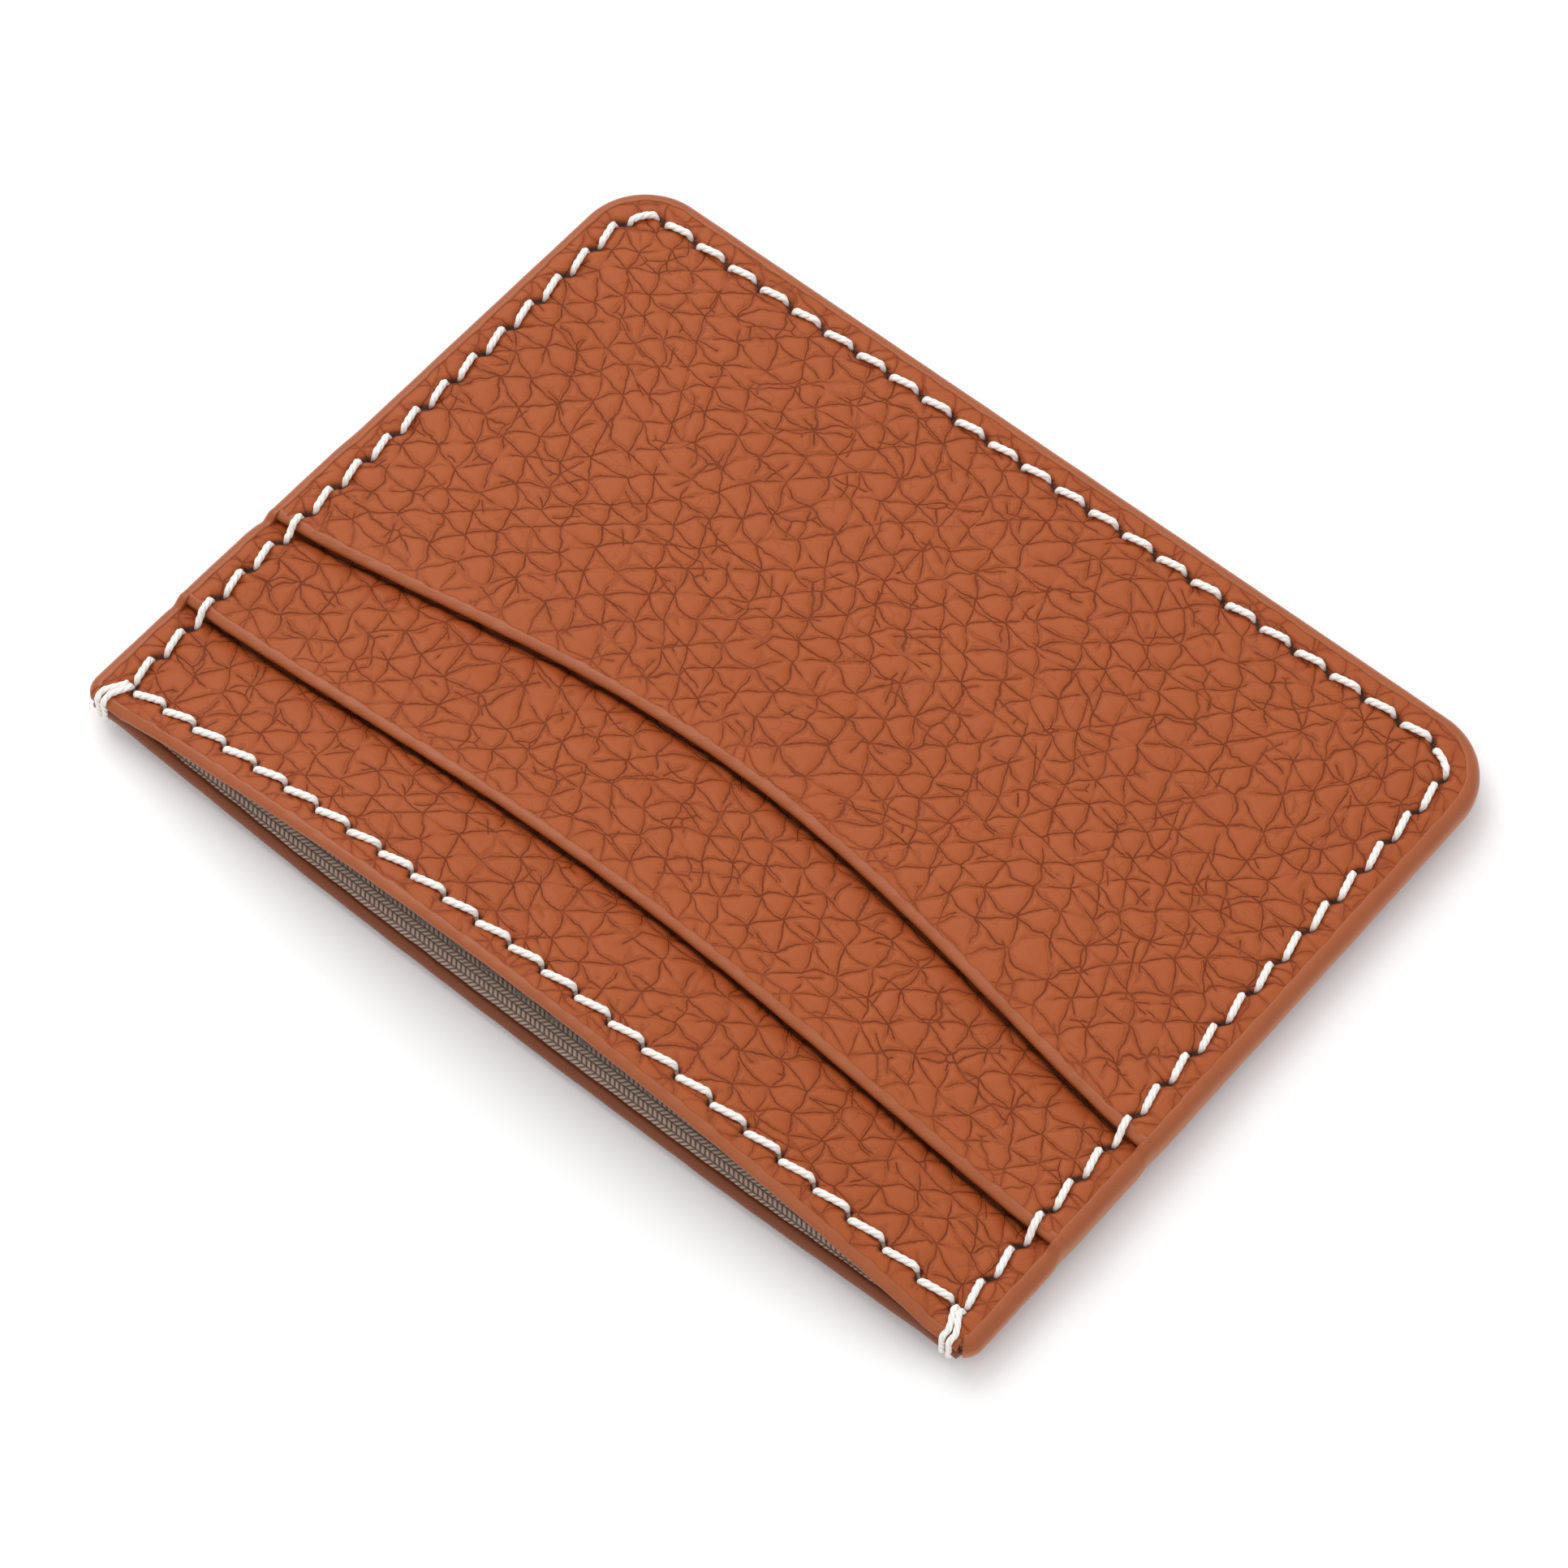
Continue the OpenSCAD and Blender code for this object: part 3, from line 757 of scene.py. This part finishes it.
def lower_pocket_top(x, y):
    """Outer face of the large pocket piece."""
    return lower_pocket_z(x, y) + leather_t


large_x = np.linspace(-1, 1, 426) * side_x
leather_piece(
    "large_pocket_leather", "lower_pocket", rows_to_corners(lower_slot(large_x), 200),
    lower_pocket_z, lower_pocket_top, True, (12.0, -31.0, 0.0), lower_slot,
)

# ---- Edge paint ----
# Several coats of brown edge paint on every cut edge, sanded and rounded over. It wraps on to
# the grain for a little under a millimetre, with a slightly wavy border and a faint ridge.


def front_top(x, y):
    """Outer face of the front at the seams, with paint and thread bridging the slots' steps."""
    steps = [ease((y - slot(x) + 1.3) / 1.3) for slot in (upper_slot, lower_slot)]
    levels = [
        front_panel_z(x, y) + strip_t(y - upper_slot(x)),
        upper_pocket_z(x, y) + strip_t(y - lower_slot(x)),
        lower_pocket_top(x, y),
    ]
    middle = levels[0] + (levels[1] - levels[0]) * steps[0]
    return middle + (levels[2] - middle) * steps[1]


def ring_faces(count, sides, closed):
    """Faces between each ring of points and the next, in a row that ends or that closes."""
    start = np.arange(count if closed else count - 1)[:, None] * sides
    after = (start + sides) % (count * sides)
    k, following = np.arange(sides), (np.arange(sides) + 1) % sides
    quads = np.stack([start + k, after + k, after + following, start + following], -1)
    return quads.reshape(-1, 4)


def swept_piece(name, rings, material, slot, node, marks=None, uv=None):
    """Closed skin over a row of rings of points, with flat ends."""
    count, sides = rings.shape[:2]
    quads, k = ring_faces(count, sides, False), np.arange(sides)
    ends = [k, (count - 1) * sides + k[::-1]]
    points = rings.reshape(-1, 3)
    return make_piece(name, points, quads, material, slot, node, ends, marks, uv)


def paint_material():
    """Sanded edge paint: smooth satin brown, a little lighter and darker in patches, with fine
    specks, painted darker where it is low on a lip, as painted shade, and painted paler low on the
    side edge's outer face, as painted light thrown up from the table."""
    node, mix, calc, finish = new_material("edge_paint")
    at = node("ShaderNodeTexCoord")["Object"]
    patches = node("ShaderNodeTexNoise", {"Vector": at, "Scale": 180.0, "Detail": 3.0})[0]
    specks = node("ShaderNodeTexNoise", {"Vector": at, "Scale": 3500.0, "Detail": 2.0})[0]
    low = node("ShaderNodeAttribute", attribute_name="low")["Fac"]
    colour = mix(patches, (0.29, 0.068, 0.017, 1), (0.36, 0.096, 0.030, 1))
    colour = mix(calc("MULTIPLY", specks, 0.22), colour, (0.23, 0.052, 0.013, 1))
    # Painted shade: the low part of a lip bead, or all of a bead that wraps, is darker
    colour = mix(calc("MULTIPLY", low, 0.85), colour, (0.055, 0.012, 0.004, 1))
    # Painted light: the lower part of the side edge's outer face is paler, lit from the table
    floor_bounce_light = node("ShaderNodeAttribute", attribute_name="floor_bounce_light")["Fac"]
    colour = mix(calc("MULTIPLY", floor_bounce_light, 0.8), colour, (0.47, 0.155, 0.062, 1))
    height = calc("MULTIPLY_ADD", specks, 0.12, calc("MULTIPLY", patches, 0.8))
    rough = node("ShaderNodeMapRange", {"Value": patches, "To Min": 0.3, "To Max": 0.48})[0]
    satin = {"Base Color": colour, "Roughness": rough, "Specular IOR Level": 0.3}
    return finish(satin, 0.5, 0.08 * MM, height)


def lip_rings(half_length, edge_y, under, top, seed, wraps=False):
    """Rings of paint round an edge that faces the mouth, one every 0.25 mm from right to left.

    Each ring starts inside the leather, comes up through the grain side at the margin, rounds
    over the edge, bulges outwards and tucks in under it, or wraps on to the lining as well. The
    profile lists how far out each point is, in margins inwards and in mm outwards, its share of
    the way up the edge, and a lift in mm. The low mark darkens the lower half of the bead, or
    the whole of one that wraps, as painted shade.
    """
    # Painted shade: how dark a bead that wraps is made all over
    wrapped_low = 0.58
    x = np.linspace(half_length, -half_length, int(8 * half_length))
    y = edge_y(x)
    margin = 0.62 + wave_line(x, seed, (1.7, 2.9, 4.3, 11), 0.24)
    ridge = wave_line(x, seed + 5, (1.9, 3.3, 6.7), 0.045)
    swell = 1 + wave_line(x, seed + 1, (5, 9, 23), 0.12)
    profile = [
        (-1.0, 1.0, -0.12), (-1.0, 1.0, 0.05), (-0.75, 1.0, 0.075), (-0.4, 1.0, 0.02),
        (-0.05, 1.0, -0.12), (0.16, 0.82, 0.0), (0.3, 0.66, 0.0), (0.36, 0.48, 0.0),
        (0.33, 0.3, 0.0), (0.2, 0.14, 0.0), (0.0, 0.04, 0.0), (-0.25, 0.02, 0.0),
        (-0.3, 0.3, 0.0),
    ]
    if wraps:
        profile[9:] = [
            (0.34, 0.2, 0.0), (0.26, 0.0, 0.0), (0.1, -0.2, 0.0), (-0.2, -0.3, 0.0),
            (-0.5, -0.33, 0.0), (-0.8, -0.3, 0.0), (-0.95, -0.15, 0.0), (-0.9, 0.3, 0.0),
        ]
        margin = 0.62 + wave_line(x, seed, (4.3, 11), 0.08)
    rings = []
    for out, level, lift in profile:
        reach = -out * margin if out < 0 else -out * swell
        spot_y = y + reach
        low, high = under(x, y), top(x, np.maximum(spot_y, y))
        lift = lift + ridge * level if out < 0 else lift
        rings.append(np.stack([x, spot_y, low + (high - low) * level + lift], -1))
    lows = [wrapped_low if wraps else 1 - level / 0.5 for out, level, lift in profile]
    return np.stack(rings, 1), {"low": np.clip(lows, 0, 1) + 0 * x[:, None]}


paint = paint_material()
mouth_half, slot_half = side_x - mouth_r + 0.6, side_x - 0.3
lips = [
    ("front_mouth_edge_paint", mouth_half, mouth_edge, front_panel_z, front_panel_top, 3),
    ("upper_slot_edge_paint", slot_half, upper_slot, upper_pocket_z, upper_pocket_top, 11),
    ("lower_slot_edge_paint", slot_half, lower_slot, lower_pocket_z, lower_pocket_top, 19),
]
for lip_node, half_length, edge_y, under, top, seed in lips:
    rings, marks = lip_rings(half_length, edge_y, under, top, seed)
    swept_piece(lip_node + "_coat", rings, paint, "edge_paint", lip_node, marks)

# The back's lip is worked out upside down, because its grain side is underneath, then turned over
back_lip, marks = lip_rings(
    mouth_half, lambda x: mouth_y - mouth_bow(x), lambda x, y: -back_z(x, y) - leather_t,
    lambda x, y: -back_z(x, y), 27, True,
)
back_lip[..., 2] *= -1
swept_piece(
    "back_mouth_edge_paint_coat", back_lip[:, ::-1], paint, "edge_paint", "back_mouth_edge_paint",
    {"low": marks["low"][:, ::-1]},
)


arc0, arc1 = np.pi / 2 * mouth_r, np.pi / 2 * edge_r
straight = closed_y - edge_r - mouth_y - mouth_r


def outline_point(d):
    """Point and outward direction at distance d up the left edge and along to the middle."""
    first = np.clip(d / mouth_r, 0, np.pi / 2)
    last = np.clip((d - arc0 - straight) / edge_r, 0, np.pi / 2)
    x = -side_x + mouth_r * (1 - np.sin(first)) + edge_r * (1 - np.cos(last))
    x = x + np.maximum(d - arc0 - straight - arc1, 0)
    y = mouth_y + mouth_r * (1 - np.cos(first)) + np.clip(d - arc0, 0, straight)
    y = y + edge_r * np.sin(last)
    out = np.where(
        (d < arc0)[:, None],
        np.stack([-np.sin(first), -np.cos(first)], -1),
        np.stack([-np.cos(last), np.sin(last)], -1),
    )
    return np.stack([x, y], -1), out


half_outline, from_mouth = arc0 + arc1 + straight + side_x - edge_r, 0.9
run = np.linspace(from_mouth, 2 * half_outline - from_mouth, 1000)
spot, out = outline_point(np.minimum(run, 2 * half_outline - run))
flip = np.where(run < half_outline, 1, -1)[:, None] * (1, 0) + (0, 1)
spot, out = spot * flip, out * flip
margin = 0.85 + wave_line(run, 31, (2.3, 4.1, 7.7, 17), 0.16)
swell = 1 + wave_line(run, 33, (6, 11, 29), 0.1)
for slot_line in (upper_slot, lower_slot):
    near_step = (spot[:, 1] - slot_line(spot[:, 0]) + 0.5) / 0.9
    swell = swell - 0.3 * np.exp(-(near_step**2))
profile = [
    (-1.0, 1.0, -0.15), (-1.0, 1.0, 0.045), (-0.8, 1.0, 0.075), (-0.5, 1.0, 0.03),
    (-0.22, 1.0, -0.06), (0.0, 1.0, -0.2), (0.2, 1.0, -0.42), (0.34, 1.0, -0.75),
    (0.42, 0.66, 0.0), (0.46, 0.5, 0.0), (0.42, 0.34, 0.0), (0.34, 0.0, 0.7), (0.2, 0.0, 0.36),
    (0.0, 0.0, 0.16), (-0.3, 0.0, 0.03), (-0.7, 0.0, -0.06), (-1.0, 0.0, 0.0), (-1.0, 0.0, 0.15),
]
rings = []
for away, level, lift in profile:
    reach = away * (margin if away < 0 else swell)
    place = spot + out * reach[:, None]
    inner = spot + out * np.minimum(reach, 0)[:, None]
    low, high = back_z(inner[:, 0], inner[:, 1]), front_top(inner[:, 0], inner[:, 1])
    rings.append(np.stack([place[:, 0], place[:, 1], low + (high - low) * level + lift], -1))
side_rings = np.stack(rings, 1)
# Painted light from the table: strongest low on the side edge's outer face, none on top
floor_bounce_light = [ease((1.5 - level - away) / 0.8) * (away > 0.3) for away, level, lift in profile]
marks = {"floor_bounce_light": floor_bounce_light + 0 * run[:, None]}
swept_piece("side_edge_paint_coat", side_rings, paint, "edge_paint", "side_edge_paint", marks)

# ---- Sewing thread ----
# Off-white waxed three-ply thread, 0.7 mm, lock-stitched through the whole stack, with a thinner
# taupe one on the linings. Each stitch slants between two slit holes, and its ends sink into them.


def thread_material(name, fibre_dark, fibre_light, groove_colour):
    """Thread of one colour: three plies with grooves painted darker as painted shade, fine
    fibres along the twist, and dark brown painted shade where it sinks into the holes.
    """
    node, mix, calc, finish = new_material(name)
    along = node("ShaderNodeUVMap", uv_map="along")[0]
    groove = node("ShaderNodeAttribute", attribute_name="groove")["Fac"]
    sunk = node("ShaderNodeAttribute", attribute_name="sunk")["Fac"]
    stretch = (1.2, 9.0, 1.0)
    stretched = node("ShaderNodeVectorMath", {0: along, 1: stretch}, operation="MULTIPLY")[0]
    fibres = node("ShaderNodeTexNoise", {"Vector": stretched, "Scale": 3.0, "Detail": 3.0})[0]
    colour = mix(fibres, fibre_dark, fibre_light)
    # Painted shade in the grooves between the plies
    colour = mix(calc("MULTIPLY", groove, 0.2), colour, groove_colour)
    # Painted shade: dark brown where the thread sinks into a hole
    colour = mix(sunk, colour, (0.20, 0.11, 0.07, 1))
    height = calc("MULTIPLY_ADD", groove, -1.0, calc("MULTIPLY", fibres, 0.4))
    fuzzy = {"Base Color": colour, "Roughness": 0.65, "Sheen Weight": 0.25}
    return finish(fuzzy, 0.7, 0.06 * MM, height)


def thread_rings(path, radius, up_hint):
    """Twisted three-lobed section swept along a path, with the twist's groove at each point.

    The radius at angle a is r * (0.97 + 0.075 cos(3 (a - turn))), and the turn grows evenly, by
    one whole turn every 2.3 mm.
    """
    lay, corners = 2.3, 18
    along = np.gradient(path, axis=0)
    along /= np.linalg.norm(along, axis=1, keepdims=True)
    side = np.cross(along, up_hint)
    side /= np.linalg.norm(side, axis=1, keepdims=True)
    up = np.cross(side, along)
    walked = np.concatenate([[0], np.cumsum(np.linalg.norm(np.diff(path, axis=0), axis=1))])
    turn = 2 * np.pi * walked / lay
    angle = np.linspace(0, 2 * np.pi, corners, endpoint=False)
    lobes = np.cos(3 * (angle - turn[:, None]))
    reach = radius[:, None] * (1 + 0.075 * lobes - 0.03)
    rings = (
        path[:, None] + (reach * np.cos(angle))[..., None] * side[:, None]
        + (reach * np.sin(angle))[..., None] * up[:, None]
    )
    uv = np.stack([walked[:, None] + 0 * angle, (angle - turn[:, None]) / (2 * np.pi)], -1)
    return rings, np.clip(-lobes, 0, 1) ** 2, uv.reshape(-1, 2)


def seam_path(seam, count, surface, face, thick):
    """Path of one side of a lock-stitched seam, with its radius and how deep it has sunk.

    Between holes the thread lies on the surface and crosses from the right of its line to the
    left; in each hole it dips below and crosses back.
    """
    per_stitch = 36
    step = np.arange(count * per_stitch + 1) / per_stitch
    f = np.clip(step / count, 2e-4, 1 - 2e-4)
    part = step % 1
    end = np.minimum(part, 1 - part)
    dive = hole_reach(seam) + 0.09
    over = np.clip((part - dive) / (1 - 2 * dive), 0, 1) * 2 - 1
    back = np.where(part < 0.5, part, part - 1) / -dive
    sway = np.where(end > dive, over, back)
    middle = seam(f) + left_of(seam, f) * (slant(seam, f) * sway)[:, None]
    pick = np.random.default_rng(count + 7)
    high = pick.uniform(-0.03, 0.05, count + 1)[step.astype(int)]
    lift = -1.1 + 1.32 * ease((end - dive + 0.13) / 0.19) + (0.05 + high) * np.sin(np.pi * part)
    z = surface(middle[:, 0], middle[:, 1]) + face * lift
    radius = thick * (0.66 + 0.34 * ease((end - dive + 0.1) / 0.2))
    return np.column_stack([middle, z]), radius, 1 - ease((end - dive + 0.07) / 0.08)


# The third colour of each thread is the painted shade in its grooves
cotton = thread_material(
    "sewing_thread", (0.76, 0.71, 0.65, 1), (0.95, 0.93, 0.90, 1), (0.50, 0.42, 0.35, 1)
)
taupe = thread_material(
    "lining_thread", (0.085, 0.060, 0.045, 1), (0.20, 0.150, 0.118, 1), (0.03, 0.02, 0.015, 1)
)


def back_lining_top(x, y):
    """Inner face of the back's lining."""
    return back_z(x, y) + leather_t + ply_gap + lining_t


cotton_r, taupe_r = 0.33, 0.26
side_sewn, mouth_sewn = (side_seam, side_stitches), (mouth_seam, mouth_stitches)
runs = [
    ("side_needle_thread", *side_sewn, front_top, 1, cotton_r, cotton, "thread"),
    ("side_bobbin_thread", *side_sewn, back_z, -1, cotton_r, cotton, "thread"),
    ("front_mouth_thread", *mouth_sewn, front_top, 1, cotton_r, cotton, "thread"),
    ("front_mouth_inner_thread", *mouth_sewn, front_lining_z, -1, taupe_r, taupe, "lining_thread"),
    ("back_mouth_thread", *mouth_sewn, back_z, -1, cotton_r, cotton, "thread"),
    ("back_mouth_inner_thread", *mouth_sewn, back_lining_top, 1, taupe_r, taupe, "lining_thread"),
]
for thread_node, seam, count, surface, face, thick, fibre, slot in runs:
    path, radius, sunk = seam_path(seam, count, surface, face, thick)
    rings, groove, uv = thread_rings(path, radius, (0, 0, 1))
    marks = {"groove": groove, "sunk": sunk[:, None] + 0 * groove}
    swept_piece(thread_node + "_ply", rings, fibre, slot, thread_node, marks, uv)

# ---- Corner tacks ----
# Two turns of the same thread through each corner hole and round the closed end of the mouth,
# which take the strain when the pocket is opened.


def closed_curve(corners, per_side):
    """Catmull-Rom spline through a loop of points."""
    p0, p1, p2, p3 = [np.roll(corners, k, axis=0)[:, None] for k in (1, 0, -1, -2)]
    t = np.linspace(0, 1, per_side, endpoint=False)[None, :, None]
    curve = 0.5 * (
        2 * p1 + (p2 - p0) * t + (2 * p0 - 5 * p1 + 4 * p2 - p3) * t**2
        + (3 * p1 - p0 - 3 * p2 + p3) * t**3
    )
    return curve.reshape(-1, 3)


def tack_loop(x, turn):
    """One turn of thread: down the hole, out to the corner, round the edge and back below."""
    top = float(front_top(np.array(x), np.array(stitch_near_y))) + 0.3
    bottom = float(back_z(np.array(x), np.array(stitch_near_y))) - 0.3
    leg, front = x + turn * 0.28, mouth_y - 0.3
    bow = x + np.sign(x) * 0.8 + turn * 0.36
    return np.array([
        [leg, stitch_near_y, (top + bottom) / 2], [leg, stitch_near_y, top - 0.35],
        [leg, stitch_near_y - 0.45, top], [bow, mouth_y + 0.6, top],
        [bow, front + 0.06, top - 0.3], [bow, front, top - 0.9],
        [bow, front, bottom + 0.9], [bow, front + 0.06, bottom + 0.3],
        [bow, mouth_y + 0.6, bottom], [leg, stitch_near_y - 0.45, bottom],
        [leg, stitch_near_y, bottom + 0.35],
    ])


def merged(parts):
    """Several closed tubes as one set of points, faces, marks and UVs."""
    points, quads, grooves, uvs, base = [], [], [], [], 0
    for rings, groove, uv in parts:
        count, sides = rings.shape[:2]
        quads.append(base + ring_faces(count, sides, True))
        points.append(rings.reshape(-1, 3))
        grooves.append(groove.ravel())
        uvs.append(uv)
        base += count * sides
    return [np.concatenate(lists) for lists in (points, quads, grooves, uvs)]


tack_r = 0.29
for tack_node, x in (("left_corner_tack", -stitch_x), ("right_corner_tack", stitch_x)):
    loops = []
    for turn in (-1, 1):
        path = closed_curve(tack_loop(x, turn), 14)
        loops.append(thread_rings(path, np.full(len(path), tack_r), (1, 0.02, 0)))
    points, quads, groove, uv = merged(loops)
    marks = {"groove": groove, "sunk": 0 * groove}
    make_piece(tack_node + "_ply", points, quads, cotton, "thread", tack_node, (), marks, uv)

# ---- Studio ----
# A plain white table, one large soft lamp high on the left, and a white ceiling that throws
# most of its light from straight above.

floor_mesh = bpy.data.meshes.new("floor")
floor_mesh.from_pydata([(-3, -3, 0), (3, -3, 0), (3, 3, 0), (-3, 3, 0)], [], [(0, 1, 2, 3)])
floor = bpy.data.objects.new("floor", floor_mesh)
bpy.context.scene.collection.objects.link(floor)
node, mix, calc, finish = new_material("paper")
at = node("ShaderNodeTexCoord")["Object"]
tooth = node("ShaderNodeTexNoise", {"Vector": at, "Scale": 900.0})[0]
shade = mix(tooth, (0.89, 0.89, 0.89, 1), (0.91, 0.91, 0.91, 1))
floor_mesh.materials.append(finish({"Base Color": shade, "Roughness": 0.9}))

lamp_data = bpy.data.lights.new("softbox", "AREA")
lamp_data.shape, lamp_data.size, lamp_data.energy = "SQUARE", 0.5, 2.0
lamp = bpy.data.objects.new("softbox", lamp_data)
lamp.location = (-0.40, 0.16, 0.55)
lamp.rotation_euler = (math.radians(-16.2), math.radians(-34.9), 0)
bpy.context.scene.collection.objects.link(lamp)

world = bpy.data.worlds.new("studio")
world.use_nodes = True
sky = world.node_tree
toward = sky.nodes.new("ShaderNodeTexCoord")
height_up = sky.nodes.new("ShaderNodeSeparateXYZ")
level = sky.nodes.new("ShaderNodeMapRange")
level.inputs["To Min"].default_value, level.inputs["To Max"].default_value = 0.70, 1.17
sky.links.new(toward.outputs["Generated"], height_up.inputs[0])
sky.links.new(height_up.outputs["Z"], level.inputs["Value"])
sky.links.new(level.outputs[0], sky.nodes["Background"].inputs["Strength"])
sky.nodes["Background"].inputs["Color"].default_value = (1, 1, 1, 1)
bpy.context.scene.world = world
bpy.context.scene.view_settings.view_transform = "Standard"

# The camera stands in front of the right-hand end of the mouth, above it, with a long lens
camera_data = bpy.data.cameras.new("camera")
camera_data.sensor_width, camera_data.lens = 36, 124.4
camera = bpy.data.objects.new("camera", camera_data)
camera.location = (0.1667, -0.1848, 0.4054)
camera.rotation_euler = [math.radians(a) for a in (31.15, 1.09, 40.42)]
bpy.context.scene.collection.objects.link(camera)
bpy.context.scene.camera = camera
